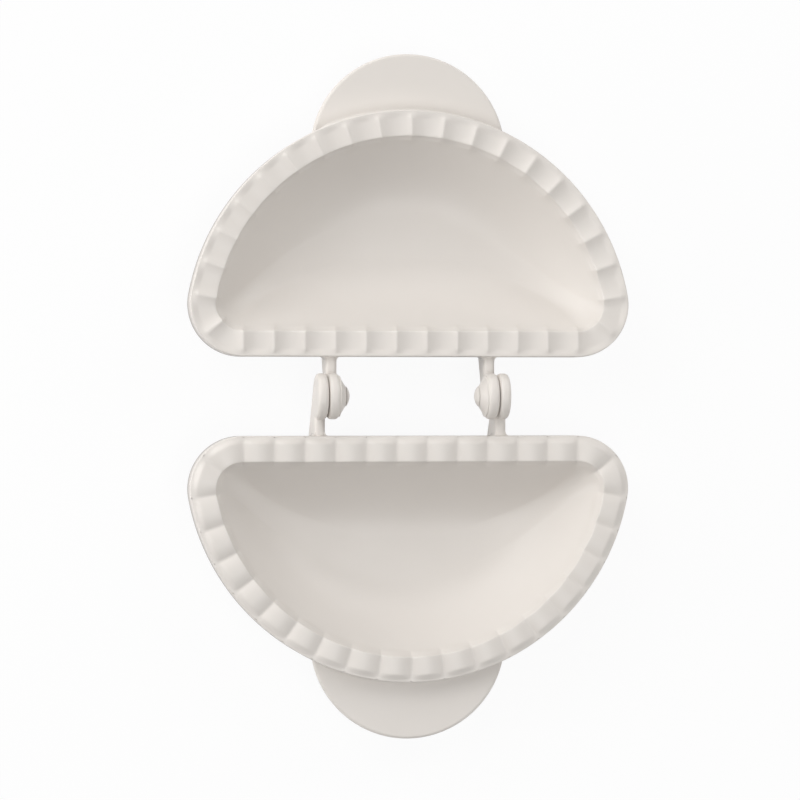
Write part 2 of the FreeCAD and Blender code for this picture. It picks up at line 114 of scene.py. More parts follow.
class CupSizes(bpy.types.PropertyGroup):
    """The cup under a mouth."""

    wall: length("Wall", "Thickness of the cup", 2.0)
    floor_depth: length("Floor depth", "Flat floor, from the hinge side to the curved side", 12.6)
    floor_corner: length("Floor corner", "Corner radius of the cup's floor", 5.5)
    roundness: bpy.props.FloatProperty(
        name="Roundness", description="Exponent of the cup's section, 2 for a parabola", default=2.0
    )


class HandleSizes(bpy.types.PropertyGroup):
    """The lobed handle at the foot of a skirt."""

    radius: length("Radius", "Lobe of the handle", 26.8)
    thickness: length("Thickness", "Plate of the handle", 2.6)
    edge_round: length("Edge round", "Rounding of the handle's edge", 0.8)
    root_round: length("Root round", "Hollow fillet where the handle meets the skirt", 0.9)


class HingeSizes(bpy.types.PropertyGroup):
    """The arms of both halves and the pins between them."""

    eye: length("Eye", "Rounded end of an arm", 6.2)
    drop: length("Drop", "Top edge of an arm below the hinge axis", 2.0)
    blade_start: length("Blade start", "Middle of the press to the upper half's arm", 20.2)
    blade: length("Blade", "Thickness of the upper half's arm", 3.0)
    blade_depth: length("Blade depth", "Root of the upper half's arm below the axis", 11.5)
    play: length("Play", "Side gap between two arms", 0.15)
    ear: length("Ear", "Thickness of the lower half's arm", 2.95)
    ear_depth: length("Ear depth", "Root of the lower half's arm below the axis", 15.0)
    edge_round: length("Edge round", "Rounding of an arm's edges", 1.0)
    flare: length("Flare", "Hollow fillet where an arm leaves the skirt", 1.1)
    hub_height: length("Hub height", "Cone on the inner face of the upper half's arm", 2.0)
    disc_radius: length("Disc radius", "Thin disc between the arm and its cone", 5.6)
    disc_height: length("Disc height", "The disc above the arm's face", 0.35)
    hub_radius: length("Hub radius", "Cone at the disc", 5.15)
    hub_face: length("Hub face", "Cone at its flat end", 3.0)
    hub_round: length("Hub round", "Rounding of the cone's flat end", 0.6)
    pin: length("Pin", "Radius of a pin's shank", 1.9)
    pin_play: length("Pin play", "Room round the shank in the turning arm", 0.05)
    pin_seat: length("Pin seat", "Depth of the pin's seat in the lower half's arm", 2.25)
    head: length("Head", "Radius of a pin's head", 2.7)
    head_height: length("Head height", "Height of a pin's domed head", 1.0)
    head_play: length("Head play", "Head to the flat end of the cone", 0.1)


def shade(name, description, default):
    """Declare a colour, given as linear red, green and blue."""
    return bpy.props.FloatVectorProperty(
        name=name, description=description, default=default, subtype="COLOR", size=3, min=0, max=1
    )


def amount(name, description, default):
    """Declare a plain number without a unit."""
    return bpy.props.FloatProperty(name=name, description=description, default=default)


def power(name, description, default):
    return bpy.props.FloatProperty(
        name=name, description=description, default=default, unit="POWER"
    )


class PlasticLook(bpy.types.PropertyGroup):
    """The off-white moulded plastic."""

    body: shade("Plastic", "Colour of the plastic", (0.730, 0.690, 0.648))
    shadowed: shade("Cool tone", "Colour of its darker mottles", (0.706, 0.664, 0.620))
    # Painted shade: the colour that the outside of a skirt darkens to towards its foot
    painted_foot_shade: shade("Foot tone", "Colour of the skirt's dull foot", (0.300, 0.275, 0.250))
    roughness: amount("Roughness", "Roughness of the satin skin", 0.38)
    mottle_scale: amount("Mottle scale", "Mottles per metre", 55.0)
    grain_scale: amount("Grain scale", "Grains of the mould's texture per metre", 2600.0)
    grain_depth: length("Grain depth", "Depth of the mould's texture", 0.006)


class StageLook(bpy.types.PropertyGroup):
    """The floor, the lights and the camera."""

    floor: shade("Floor", "Colour of the floor", (0.86, 0.86, 0.86))
    floor_white: amount("Floor white", "Share of plain white that the camera sees in the floor", 0.93)
    sky: amount("Sky", "Strength of the light from all round", 0.12)
    lamp_size: length("Lamp size", "Width of each lamp", 700.0)
    lamp_distance: length("Lamp distance", "Each lamp to the press", 1100.0)
    key: power("Key", "Main lamp, from the upper left", 3.5)
    key_high: power("High key", "Lamp above the main one", 2.15)
    overhead: power("Overhead", "Lamp almost straight above", 3.9)
    left: power("Left", "Low lamp on the left", 6.0)
    back: power("Back", "Low lamp at the upper edge", 2.1)
    back_right: power("Back right", "Fill from the upper right", 2.85)
    front: power("Front", "Low fill from the lower right", 2.1)
    lens: amount("Lens", "Focal length in millimetres on a 36 mm sensor", 150.0)
    camera_distance: length("Camera distance", "Camera to the press", 900.0)
    camera_tilt: amount("Camera tilt", "Camera's lean to -X from straight above, in degrees", 9.5)
    aim_x: length("Aim across", "Point in the middle of the picture, along X", -3.3)
    aim_y: length("Aim along", "The same point, along Y", -1.0)


GROUPS = {
    "rim": RimSizes,
    "crimp": CrimpSizes,
    "cup": CupSizes,
    "handle": HandleSizes,
    "hinge": HingeSizes,
    "plastic": PlasticLook,
    "stage": StageLook,
}


class PressSettings(bpy.types.PropertyGroup):
    """All settings of the press."""

    __annotations__ = {
        name: bpy.props.PointerProperty(type=group) for name, group in GROUPS.items()
    }


def settings():
    """Return the settings of this scene."""
    return bpy.context.scene.press


# Node trees


class Field:
    """A socket of a node tree that is written like a number."""

    def __init__(self, tree, socket):
        self.tree = tree
        self.socket = socket

    def joined(self, operation, *values):
        """Add a Math node and return its result."""
        inputs = dict(enumerate(values))
        return self.tree.add("ShaderNodeMath", {"operation": operation}, inputs).field()

    def __add__(self, other):
        return self.joined("ADD", self, other)

    def __radd__(self, other):
        return self.joined("ADD", other, self)

    def __sub__(self, other):
        return self.joined("SUBTRACT", self, other)

    def __rsub__(self, other):
        return self.joined("SUBTRACT", other, self)

    def __mul__(self, other):
        return self.joined("MULTIPLY", self, other)

    def __rmul__(self, other):
        return self.joined("MULTIPLY", other, self)


class Added:
    """A node that has just been added to a tree."""

    def __init__(self, tree, node):
        self.tree = tree
        self.node = node

    def field(self, name=0):
        """Return one of the node's outputs."""
        return Field(self.tree, self.node.outputs[name])


class Tree:
    """A node tree that is filled by calls."""

    def __init__(self, node_tree):
        self.node_tree = node_tree

    def add(self, kind, choices=None, inputs=None):
        """Add a node: its own choices are set first, then its sockets are given values or links."""
        node = self.node_tree.nodes.new(kind)
        for name, value in (choices or {}).items():
            setattr(node, name, value)
        for name, value in (inputs or {}).items():
            socket = node.inputs[name]
            if isinstance(value, Field):
                self.node_tree.links.new(value.socket, socket)
            else:
                socket.default_value = value
        return Added(self, node)


def empty_tree(owner):
    """Give a material or world an empty node tree, and return it."""
    owner.use_nodes = True
    owner.node_tree.nodes.clear()
    return Tree(owner.node_tree)


# Outlines of the half moon


def spread(start, end, steps):
    """List evenly spaced values from start up to, and without, end."""
    return [start + (end - start) * step / steps for step in range(steps)]


def floor_inset():
    """Return how far inside the rim the flat floor starts."""
    rim = settings().rim
    depth = rim.radius + rim.centre_reach - rim.straight_reach
    return (depth - settings().cup.floor_depth) / 2


def corner_at(inset):
    """Return the corner radius of the outline at an inset from the rim.

    Down to the mouth the corners keep one centre. Below it they change to the floor's own, on a
    cubic that leaves the mouth with the same slope.
    """
    rim, cup = settings().rim, settings().cup
    mouth = mouth_inset()
    if inset <= mouth:
        return rim.corner - inset
    run = floor_inset() - mouth
    along = min((inset - mouth) / run, 1)
    keep = 2 * along ** 3 - 3 * along ** 2 + 1
    slope = along ** 3 - 2 * along ** 2 + along
    return (rim.corner - mouth) * keep - run * slope + cup.floor_corner * (1 - keep)


def half_moon(inset):
    """List the points of the half moon at an inset, as many on each side for every inset."""
    rim, crimp = settings().rim, settings().crimp
    corner = corner_at(inset)
    radius = rim.radius - inset
    corner_y = rim.straight_reach + inset + corner
    corner_x = math.sqrt((radius - corner) ** 2 - (corner_y - rim.centre_reach) ** 2)
    join = math.atan2(corner_y - rim.centre_reach, corner_x)
    steps = crimp.cell_steps
    points = []
    for x in spread(-corner_x, corner_x, crimp.straight_cells * steps):
        points.append((x, rim.straight_reach + inset))
    for turn in spread(-math.pi / 2, join, crimp.corner_cells * steps):
        points.append((corner_x + corner * math.cos(turn), corner_y + corner * math.sin(turn)))
    for turn in spread(join, math.pi - join, crimp.curve_cells * steps):
        points.append((radius * math.cos(turn), rim.centre_reach + radius * math.sin(turn)))
    for turn in spread(math.pi - join, 1.5 * math.pi, crimp.corner_cells * steps):
        points.append((-corner_x + corner * math.cos(turn), corner_y + corner * math.sin(turn)))
    return points


def floor_middle():
    """Return the middle of the half moon, on its line of symmetry."""
    rim = settings().rim
    return (rim.straight_reach + rim.centre_reach + rim.radius) / 2


# Section of a half, from the middle of its underside round the rim to the middle of its floor


# Rows of the cup's outside and inside, and the power by which they crowd towards the rim
OUTSIDE_ROWS = 22
INSIDE_ROWS = 26
ROW_CROWDING = 1.35

# Faces across each rounding and each slope of the section
GUTTER_STEPS = 4
FOOT_STEPS = 3
EDGE_STEPS = 6
RAMP_STEPS = 8
RING_STEPS = 6
MOUTH_STEPS = 4

# Smallest steps from the cup's wall to the gutter's rounding and to the mouth's
GUTTER_GAP = 0.02 * MM
MOUTH_GAP = 0.25 * MM

# An extra row this share of the skirt's depth down, so that the painted shade on the skirt runs alike
# on both halves
SHADE_ROW_SHARE = 0.3


def smooth(share):
    """Ease a share between 0 and 1 at both ends."""
    return share * share * (3 - 2 * share)


def lip_height():
    """Return the height of the rim's lip above the table."""
    return HINGE_HEIGHT - settings().rim.below_axis


def foot_height():
    """Return the height of the skirt's foot above the table."""
    return lip_height() - settings().rim.skirt


def mouth_inset():
    """Return how far inside the rim the cup's mouth is."""
    crimp = settings().crimp
    return crimp.shoulder + crimp.width


def cup_curve(start, floor, share):
    """Return the inset and height of the cup's section at a share of its way to the floor."""
    lip = lip_height()
    inwards = share ** ROW_CROWDING
    left = (1 - inwards) ** settings().cup.roundness
    return start + (floor_inset() - start) * inwards, floor + (lip - floor) * left


def quarter(centre, radius, start, steps):
    """List the points of a quarter circle that turns clockwise from a bearing in degrees."""
    points = []
    for step in range(steps + 1):
        turn = math.radians(start - 90 * step / steps)
        points.append((centre[0] + radius * math.cos(turn), centre[1] + radius * math.sin(turn)))
    return points


def half_section(raised):
    """List the rows of the section, each an inset, a height and a share of the crimp's rise.

    The shoulder of a half with flutes is raised, half way up the ridges between them.
    """
    rim, crimp, cup = settings().rim, settings().crimp, settings().cup
    lip, foot, mouth = lip_height(), foot_height(), mouth_inset()
    lift = crimp.shoulder_lift if raised else 0
    gutter = rim.gutter_round
    gutter_top = lip - rim.plate - gutter
    foot_middle = foot + rim.foot_round
    rows = []

    for step in range(OUTSIDE_ROWS):
        inset, height = cup_curve(mouth - cup.wall, TABLE, 1 - step / OUTSIDE_ROWS)
        if height < gutter_top:
            rows.append((inset, height, 0))
    wall = rows[-1][0] - GUTTER_GAP
    bends = [
        quarter((wall - gutter, gutter_top), gutter, 90, GUTTER_STEPS)[::-1],
        quarter((rim.skirt_wall + gutter, gutter_top), gutter, 180, GUTTER_STEPS)[::-1],
        quarter((rim.skirt_wall - rim.foot_round, foot_middle), rim.foot_round, 0, FOOT_STEPS),
        quarter((rim.foot_round, foot_middle), rim.foot_round, 270, FOOT_STEPS),
        [(0, lip - rim.skirt * SHADE_ROW_SHARE)],
        quarter((rim.edge_round, lip + lift - rim.edge_round), rim.edge_round, 180, EDGE_STEPS),
    ]
    for bend in bends:
        rows += [(inset, height, 0) for inset, height in bend]

    ring_start, ring_end = crimp.shoulder, mouth - crimp.mouth_round
    for step in range(RAMP_STEPS + 1):
        share = step / RAMP_STEPS
        climb = smooth(share)
        rows.append((ring_start + crimp.ramp * share, lip + lift * (1 - climb), climb))
    for inset in spread(ring_start + crimp.ramp, ring_end, RING_STEPS)[1:]:
        rows.append((inset, lip, 1))
    bend = (ring_end, lip - crimp.mouth_round)
    rows += [(x, z, 1) for x, z in quarter(bend, crimp.mouth_round, 90, MOUTH_STEPS)]

    for step in range(INSIDE_ROWS):
        inset, height = cup_curve(mouth, TABLE + cup.wall, (step + 1) / INSIDE_ROWS)
        below = lip - crimp.mouth_round - height
        if below > MOUTH_GAP:
            rows.append((inset, height, smooth(max(1 - below / crimp.fade, 0))))
    return rows


# Meshes


# Faces that meet at more than this angle shade as a sharp edge
SHARP_ANGLE = math.radians(50)


class Builder:
    """A mesh that is put together from closed shells."""

    def __init__(self):
        self.mesh = bmesh.new()
        self.rise = self.mesh.verts.layers.float.new("crimp_share")
        self.phase = self.mesh.verts.layers.float.new("cell_share")
        # Share of painted shade on the outside of a skirt, darkest at its foot
        self.foot = self.mesh.verts.layers.float.new("foot_share")

    def ring(self, points, share=0.0, phases=None, painted_shade=None):
        """Add the points of one ring, with a cell phase and a share of painted shade for each point.
        """
        verts = []
        for index, point in enumerate(points):
            vert = self.mesh.verts.new(point)
            vert[self.rise] = share
            vert[self.phase] = phases[index] if phases else 0.0
            vert[self.foot] = painted_shade[index] if painted_shade else 0.0
            verts.append(vert)
        return verts

    def bridge(self, first, second):
        """Join two rings of as many points."""
        for index in range(len(first)):
            after = (index + 1) % len(first)
            self.mesh.faces.new((first[index], first[after], second[after], second[index]))

    def cap(self, ring, middle):
        """Close a ring with a fan round a middle point."""
        centre = self.mesh.verts.new(middle)
        for index in range(len(ring)):
            self.mesh.faces.new((ring[index], ring[(index + 1) % len(ring)], centre))

    def tube(self, rings, closed=False):
        """Join a list of rings of points, and close its ends or join the last to the first."""
        built = [self.ring(points) for points in rings]
        for first, second in zip(built, built[1:]):
            self.bridge(first, second)
        if closed:
            self.bridge(built[-1], built[0])
            return
        for ring, points in ((built[0], rings[0]), (built[-1], rings[-1])):
            middle = sum((Vector(point) for point in points), Vector()) / len(points)
            self.cap(ring, middle)

    def finish(self, name, turned=False):
        """Make the object, and turn it to the -Y side if asked."""
        if turned:
            bmesh.ops.rotate(
                self.mesh, verts=self.mesh.verts, matrix=Matrix.Rotation(math.pi, 3, "Z")
            )
        bmesh.ops.recalc_face_normals(self.mesh, faces=self.mesh.faces)
        for face in self.mesh.faces:
            face.smooth = True
        for edge in self.mesh.edges:
            edge.smooth = edge.calc_face_angle(math.pi) < SHARP_ANGLE
        data = bpy.data.meshes.new(name)
        self.mesh.to_mesh(data)
        self.mesh.free()
        thing = bpy.data.objects.new(name, data)
        bpy.context.scene.collection.objects.link(thing)
        return thing


def painted_shade_amount(height):
    """Return the share of painted shade on the outside of a skirt at a height, from none at the rim's
    edge to all at its foot.
    """
    rim = settings().rim
    edge = lip_height() - rim.edge_round
    return min(max((edge - height) / (rim.skirt - rim.edge_round), 0), 1)


# Rings of the floor and of its underside, as shares of their size
FLOOR_SHARES = (0.7, 0.4, 0.15)


def add_shell(builder, raised=False):
    """Add the cup, rim and skirt of a half as one closed skin."""
    rim, crimp = settings().rim, settings().crimp
    rows = half_section(raised)
    cells = crimp.straight_cells + crimp.curve_cells + 2 * crimp.corner_cells
    phases = spread(0, 1, crimp.cell_steps) * cells
    middle = floor_middle()
    rings = []
    for inset, height, share in rows:
        points = [(x, y, height) for x, y in half_moon(inset)]
        # Painted shade on the outside of the skirt, darker towards its foot
        painted_shade = painted_shade_amount(height) if inset <= rim.foot_round else 0.0
        rings.append(builder.ring(points, share, phases, [painted_shade] * len(points)))
    for first, second in zip(rings, rings[1:]):
        builder.bridge(first, second)
    for row, ring in ((rows[0], rings[0]), (rows[-1], rings[-1])):
        inner = ring
        for share in FLOOR_SHARES:
            points = [
                (x * share, middle + (y - middle) * share, row[1]) for x, y in half_moon(row[0])
            ]
            nearer = builder.ring(points)
            builder.bridge(inner, nearer)
            inner = nearer
        builder.cap(inner, (0, middle, row[1]))


# The flat sides of a plate start this share of the rounding inside it, so that they shade as flat
FLAT_MARGIN_SHARE = 0.15

# Plates that run into a skirt start this far above its foot, so that no faces coincide
FOOT_GAP = 0.02 * MM

# Faces round a turned form
LATHE_STEPS = 64


def rounded_plate(
    builder, outline_at, low, high, rounding, place, steps=4, crescent=False, painted_shade_at=None
):
    """Add a plate with rounded edges, placed by a function.

    outline_at draws the plate's outline, closed and anticlockwise, at an inset from its edge.
    A crescent's outline has its tips first and half way round, and its sides are closed by strips.
    The last argument gives the share of painted shade at a point.
    """
    margin = rounding * (1 + FLAT_MARGIN_SHARE)
    rings = [(margin, low)]
    rings += quarter((rounding, low + rounding), rounding, 270, steps)
    rings += quarter((rounding, high - rounding), rounding, 180, steps)
    rings.append((margin, high))
    placed = []
    for inset, level in rings:
        points = [place(x, y, level) for x, y in outline_at(inset)]
        painted_shade = [painted_shade_at(*point) for point in points] if painted_shade_at else None
        placed.append(builder.ring(points, painted_shade=painted_shade))
    for first, second in zip(placed, placed[1:]):
        builder.bridge(first, second)
    for ring in (placed[0], placed[-1]):
        if not crescent:
            builder.mesh.faces.new(ring)
            continue
        half = len(ring) // 2
        builder.mesh.faces.new((ring[0], ring[1], ring[-1]))
        for index in range(1, half - 1):
            builder.mesh.faces.new(
                (ring[index], ring[index + 1], ring[-index - 1], ring[-index])
            )
        builder.mesh.faces.new((ring[half - 1], ring[half], ring[half + 1]))


def lathe(builder, profile, place):
    """Turn a closed profile of (along, radius) points round an axis, placed by a function."""
    rings = []
    for turn in spread(0, 2 * math.pi, LATHE_STEPS):
        across, up = math.cos(turn), math.sin(turn)
        rings.append([place(along, radius * across, radius * up) for along, radius in profile])
    builder.tube(rings, closed=True)


# The handle


# Faces along each side of the handle, and along and across the fillet at its root
HANDLE_STEPS = 96
HANDLE_EDGE_STEPS = 6
FILLET_STEPS = 64
FILLET_BENDS = 5

# The fillet ends this far before the handle's tips, in radians, and dies out over this share
FILLET_END = 0.045
FILLET_FADE = 1 / 8

# Depth to which the fillet is sunk in the handle, and its smallest size
FILLET_SINK = 0.3 * MM
FILLET_TIP = 0.02 * MM


def on_circle(radius, turn, centre):
    """Return a point of a circle about the line of symmetry, at a bearing from +Y."""
    return radius * math.sin(turn), centre + radius * math.cos(turn)


def handle_circles(inset):
    """Return the radius and centre of the lobe, and the radius of the arc inside the skirt."""
    rim, handle = settings().rim, settings().handle
    buried = rim.radius - rim.skirt_wall / 2 + inset
    return handle.radius - inset, HALF_DEPTH - handle.radius, buried


def handle_tips(inset):
    """Return the bearings of the handle's tips, from the lobe's centre and from the rim's."""
    lobe, reach, buried = handle_circles(inset)
    apart = reach - settings().rim.centre_reach
    lobe_angle = math.acos((apart ** 2 + lobe ** 2 - buried ** 2) / (2 * apart * lobe))
    return lobe_angle, math.asin(lobe * math.sin(lobe_angle) / buried)


def handle_outline(inset):
    """Draw the lobe and, inside the skirt, the arc that ends it."""
    lobe, reach, buried = handle_circles(inset)
    centre = settings().rim.centre_reach
    lobe_angle, rim_angle = handle_tips(inset)
    lobe_turns = spread(math.pi - lobe_angle, lobe_angle - math.pi, HANDLE_STEPS)
    rim_turns = spread(-rim_angle, rim_angle, HANDLE_STEPS)
    outline = [on_circle(lobe, turn, reach) for turn in lobe_turns]
    return outline + [on_circle(buried, turn, centre) for turn in rim_turns]


def add_handle(builder):
    """Add the lobe beyond the rim, with its root inside the skirt, and the fillet at its root."""
    rim, handle = settings().rim, settings().handle
    foot = foot_height()
    top = foot + handle.thickness
    rounded_plate(
        builder,
        handle_outline,
        foot + FOOT_GAP,
        top,
        handle.edge_round,
        lambda x, y, z: (x, y, z),
        steps=HANDLE_EDGE_STEPS,
        crescent=True,
    )

    _, _, buried = handle_circles(0)
    _, tip = handle_tips(0)
    span = tip - FILLET_END
    rings = []
    for step in range(FILLET_STEPS + 1):
        turn = span * (2 * step / FILLET_STEPS - 1)
        fade = min((1 - abs(turn) / span) / FILLET_FADE, 1)
        size = handle.root_round * math.sin(fade * math.pi / 2) + FILLET_TIP
        edge = rim.radius + size
        section = [(buried, top - FILLET_SINK), (buried, top + size)]
        section += quarter((edge, top + size), size, 270, FILLET_BENDS)[::-1]
        section.append((edge, top - FILLET_SINK))
        rings.append([(*on_circle(radius, turn, rim.centre_reach), z) for radius, z in section])
    builder.tube(rings)


# The hinge


# Halvings that find a height on the cup's section
HALVINGS = 30

# Faces round an arm's eye, along its free edges, along its foot, up its wall and round its fillet
EYE_STEPS = 72
SIDE_STEPS = 10
BASE_STEPS = 8
WALL_STEPS = 12
FLARE_STEPS = 8

# A root's hollow fillet: how far it is sunk in the arm, its rounded end as a share of its size,
# and its top below the arm's, as a share of the arm's rounding
FLARE_SINK = 0.05 * MM
FLARE_ROUND_SHARE = 1 / 5
FLARE_TOP_SHARE = 1 / 4


def wall_middle(level):
    """Return how far from the hinge the middle of the cup's straight wall is at a height."""
    rim, cup = settings().rim, settings().cup
    mouth = mouth_inset()
    found = []
    for start, floor in ((mouth, TABLE + cup.wall), (mouth - cup.wall, TABLE)):
        low, high = 0, 1
        for _ in range(HALVINGS):
            share = (low + high) / 2
            inset, height = cup_curve(start, floor, share)
            if height > level:
                low = share
            else:
                high = share
        found.append(inset)
    return rim.straight_reach + sum(found) / 2


def arm_outline(depth, inset):
    """Draw the side of an arm about the hinge axis, with its root inside the cup's wall.

    It runs round the eye, down the straight lower edge to the skirt, along the foot to the wall,
    up the wall and back along the top edge.
    """
    rim, hinge = settings().rim, settings().hinge
    corner = Vector((rim.straight_reach, -depth))
    towards = corner.normalized()
    along = hinge.eye / corner.length
    aside = math.sqrt(1 - along ** 2)
    leave = towards * along + Vector((towards.y, -towards.x)) * aside
    eye, drop, base = hinge.eye - inset, hinge.drop + inset, depth - inset
    touch = leave * eye
    edge = Vector((-leave.y, leave.x))
    root = touch - edge * (base + touch.y) / edge.y
    near = math.sqrt(eye ** 2 - drop ** 2)
    first = math.atan2(-drop, near)
    last = math.atan2(touch.y, touch.x) + 2 * math.pi
    outline = []
    for turn in spread(first, last, EYE_STEPS):
        outline.append((eye * math.cos(turn), eye * math.sin(turn)))
    for share in spread(0, 1, SIDE_STEPS):
        point = touch + (root - touch) * share
        outline.append((point.x, point.y))
    for x in spread(root.x, wall_middle(HINGE_HEIGHT - base) - inset, BASE_STEPS):
        outline.append((x, -base))
    for level in spread(-base, -drop, WALL_STEPS):
        outline.append((wall_middle(HINGE_HEIGHT + level) - inset, level))
    for x in spread(wall_middle(HINGE_HEIGHT - drop) - inset, near, SIDE_STEPS):
        outline.append((x, -drop))
    return outline


def flare_outline(thickness, inset):
    """Draw the plan of the hollow fillets on both sides of an arm's root."""
    rim, hinge = settings().rim, settings().hinge
    size = hinge.flare
    edge = rim.straight_reach
    buried = edge + rim.skirt_wall / 2
    side = thickness / 2 - FLARE_SINK + size
    reach = size + inset
    start = math.asin(inset / reach)
    right = [(side - inset, buried - inset)]
    for step in range(FLARE_STEPS + 1):
        turn = start + (math.pi / 2 - 2 * start) * step / FLARE_STEPS
        right.append((side - reach * math.sin(turn), edge - size + reach * math.cos(turn)))
    return [(-x, y) for x, y in right] + list(reversed(right))


def add_arms(builder, start, thickness, depth):
    """Add both arms of a half, with a hollow fillet at each root."""
    hinge = settings().hinge
    edge = settings().rim.straight_reach
    top = HINGE_HEIGHT - hinge.drop - hinge.edge_round * FLARE_TOP_SHARE
    for sign in (1, -1):
        rounded_plate(
            builder,
            lambda inset: arm_outline(depth, inset),
            start,
            start + thickness,
            hinge.edge_round,
            lambda y, z, x: (sign * x, y, HINGE_HEIGHT + z),
        )
        middle = sign * (start + thickness / 2)
        rounded_plate(
            builder,
            lambda inset: flare_outline(thickness, inset),
            foot_height() + FOOT_GAP,
            top,
            hinge.flare * FLARE_ROUND_SHARE,
            lambda x, y, z: (middle + x, y, z),
            # Painted shade on the fillet, as on the skirt beside it, fading away from the skirt
            painted_shade_at=lambda x, y, z: painted_shade_amount(z) * min(max(1 - (edge - y) / hinge.flare, 0), 1),
        )


# Faces across the roundings of a cone and of its disc, and the bevel at the bore
CONE_STEPS = 3
DISC_STEPS = 4
BORE_BEVEL = 0.15 * MM


def add_hubs(builder):
    """Add the cones round the pins, each on a thin disc, to the upper half's arms."""
    hinge = settings().hinge
    bore = hinge.pin + hinge.pin_play
    face = hinge.blade_start - hinge.hub_height
    buried = hinge.blade_start + hinge.blade / 2
    edge = hinge.hub_round
    inner = hinge.hub_face - edge
    profile = [(buried, bore), (face + BORE_BEVEL, bore), (face, bore + BORE_BEVEL)]
    for step in range(CONE_STEPS + 1):
        turn = math.pi / 4 * step / CONE_STEPS
        profile.append((face + edge * (1 - math.cos(turn)), inner + edge * math.sin(turn)))
    rounding = hinge.disc_height / 2
    close = rounding / 4
    top = hinge.blade_start - hinge.disc_height
    profile.append((top - close, hinge.hub_radius - close))
    profile.append((top, hinge.hub_radius))
    middle = (top + rounding, hinge.disc_radius - rounding)
    profile += quarter(middle, rounding, 180, DISC_STEPS)
    profile.append((buried, hinge.disc_radius))
    for sign in (1, -1):
        lathe(builder, profile, lambda x, y, z: (sign * x, y, HINGE_HEIGHT + z))


# Crimp rings


def crimp_tree(material):
    """Build the node tree that raises the crimp's cells on a bare ring."""
    tree = Tree(bpy.data.node_groups.new("crimp cells", "GeometryNodeTree"))
    interface = tree.node_tree.interface
    interface.new_socket("Geometry", in_out="INPUT", socket_type="NodeSocketGeometry")
    for name in ("Rise", "Hollow"):
        interface.new_socket(name, in_out="INPUT", socket_type="NodeSocketFloat")
    interface.new_socket("Geometry", in_out="OUTPUT", socket_type="NodeSocketGeometry")
    start = tree.add("NodeGroupInput")
    share = tree.add(
        "GeometryNodeInputNamedAttribute", {"data_type": "FLOAT"}, {"Name": "crimp_share"}
    ).field("Attribute")
    phase = tree.add(
        "GeometryNodeInputNamedAttribute", {"data_type": "FLOAT"}, {"Name": "cell_share"}
    ).field("Attribute")
    across = 2 * phase - 1
    pillow = 1 - across * across
    hollow = start.field("Hollow")
    height = hollow + pillow * (1 - 2 * hollow)
    lift = height * share * start.field("Rise")
    offset = tree.add("ShaderNodeCombineXYZ", None, {"Z": lift}).field()
    moved = tree.add(
        "GeometryNodeSetPosition", None, {"Geometry": start.field("Geometry"), "Offset": offset}
    )
    real = tree.add("GeometryNodeRealizeInstances", None, {"Geometry": moved.field()})
    dressed = tree.add(
        "GeometryNodeSetMaterial", None, {"Geometry": real.field(), "Material": material}
    )
    tree.add("NodeGroupOutput", None, {"Geometry": dressed.field()})
    return tree.node_tree


def raise_crimp(thing, tree, hollow):
    """Run the crimp tree on a half and keep its result as a plain mesh."""
    modifier = thing.modifiers.new("crimp", "NODES")
    modifier.node_group = tree
    values = {"Rise": settings().crimp.rise, "Hollow": float(hollow)}
    for item in tree.interface.items_tree:
        if item.name in values:
            modifier[item.identifier] = values[item.name]
    evaluated = thing.evaluated_get(bpy.context.evaluated_depsgraph_get())
    mesh = bpy.data.meshes.new_from_object(evaluated)
    thing.modifiers.clear()
    thing.data = mesh


# Materials


# Finer layers in the two noises, what they add to the roughness, and the strength of the grain
MOTTLE_DETAIL = 3.0
GRAIN_DETAIL = 2.0
MOTTLE_ROUGHNESS = 0.08
GRAIN_ROUGHNESS = 0.04
GRAIN_STRENGTH = 0.6

# How strongly the plastic bends light
PLASTIC_IOR = 1.49


def noise(tree, scale, detail):
    """Add a noise that stays with the object."""
    place = tree.add("ShaderNodeTexCoord").field("Object")
    inputs = {"Vector": place, "Scale": scale, "Detail": detail}
    return tree.add("ShaderNodeTexNoise", None, inputs).field("Fac")


def blend(tree, share, first, second):
    """Blend from one colour to another."""
    inputs = {"Factor": share, "A": first, "B": second}
    return tree.add("ShaderNodeMix", {"data_type": "RGBA"}, inputs).field("Result")


def seen_by_camera(tree):
    """Return 1 on the rays that show a surface to the camera, directly, mirrored or refracted."""
    rays = tree.add("ShaderNodeLightPath")
    direct = rays.field("Is Camera Ray")
    return direct + rays.field("Is Glossy Ray") + rays.field("Is Transmission Ray")


def plastic():
    """Make or return the satin off-white moulded plastic."""
    found = bpy.data.materials.get("moulded plastic")
    if found:
        return found
    look = settings().plastic
    material = bpy.data.materials.new("moulded plastic")
    tree = empty_tree(material)
    mottle = noise(tree, look.mottle_scale, MOTTLE_DETAIL)
    grain = noise(tree, look.grain_scale, GRAIN_DETAIL)
    mottled = blend(tree, mottle, (*look.body, 1), (*look.shadowed, 1))
    # Painted shade: towards a skirt's foot the colour darkens by the share stored on the mesh
    foot = tree.add("ShaderNodeAttribute", {"attribute_name": "foot_share"}).field("Fac")
    colour = blend(tree, foot, mottled, (*look.painted_foot_shade, 1))
    roughness = look.roughness + mottle * MOTTLE_ROUGHNESS + grain * GRAIN_ROUGHNESS
    inputs = {"Height": grain, "Distance": look.grain_depth, "Strength": GRAIN_STRENGTH}
    bump = tree.add("ShaderNodeBump", None, inputs).field()
    shader = tree.add(
        "ShaderNodeBsdfPrincipled",
        None,
        {"Base Color": colour, "Roughness": roughness, "Normal": bump, "IOR": PLASTIC_IOR},
    )
    tree.add("ShaderNodeOutputMaterial", None, {"Surface": shader.field()})
    return material


